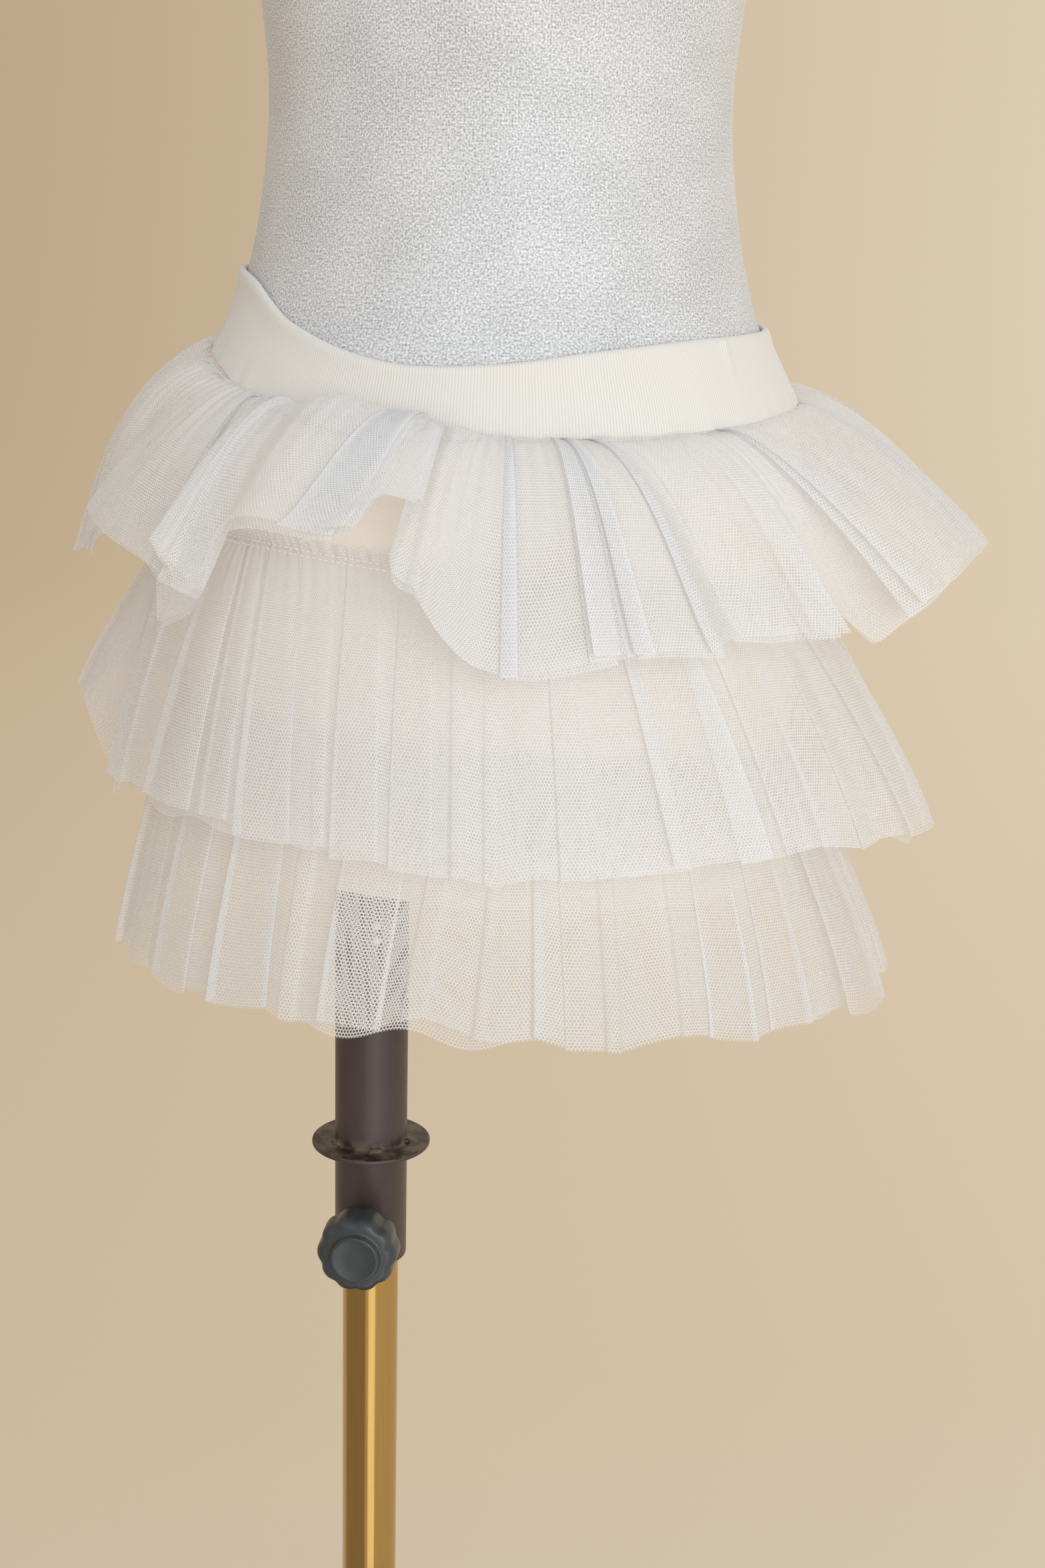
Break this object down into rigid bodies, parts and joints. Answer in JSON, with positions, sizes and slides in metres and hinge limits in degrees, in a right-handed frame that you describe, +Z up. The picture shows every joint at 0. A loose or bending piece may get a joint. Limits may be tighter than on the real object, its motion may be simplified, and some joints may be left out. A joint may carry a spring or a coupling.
{
  "type": "tulle skirt on a limbless dress form with a pole stand",
  "caption": "Child's tiered tulle skirt with a rib-knit waistband and a knit lining, worn by a limbless dress form that slides on a pole stand.",
  "frame": {"origin": "on the floor, at the middle of the base's underside, on the pole's axis", "axes": "+Z up along the pole, -Y towards the front of the skirt and the clamp screw, +X to the wearer's left"},
  "size_m": [0.3965, 0.3107, 1.073],
  "materials": {
    "velvet": "satin",
    "rib_knit": "matte",
    "lining_knit": "matte",
    "tulle": "matte",
    "dark_paint": "satin",
    "plated_tube": "satin",
    "black_plastic": "satin"
  },
  "bodies": {
    "stand": {"base": "dark_paint", "pole": "plated_tube"},
    "form": {"dress_form": "velvet", "sleeve": "dark_paint", "waistband": "rib_knit", "lining": "lining_knit", "tulle_tier_top": "tulle", "tulle_tier_middle": "tulle", "tulle_tier_bottom": "tulle"},
    "knob": {"clamp_knob": "black_plastic"}
  },
  "joints": [
    {"name": "form_height", "type": "slide", "parent": "stand", "child": "form", "axis": [0, 0, 1], "range_m": [-0.085, 0.14]},
    {"name": "knob_turn", "type": "hinge", "parent": "form", "child": "knob", "pos_m": [0, 0, 0.295], "axis": [-0.0958, -0.9954, 0], "range_deg": [0, 360]}
  ]
}
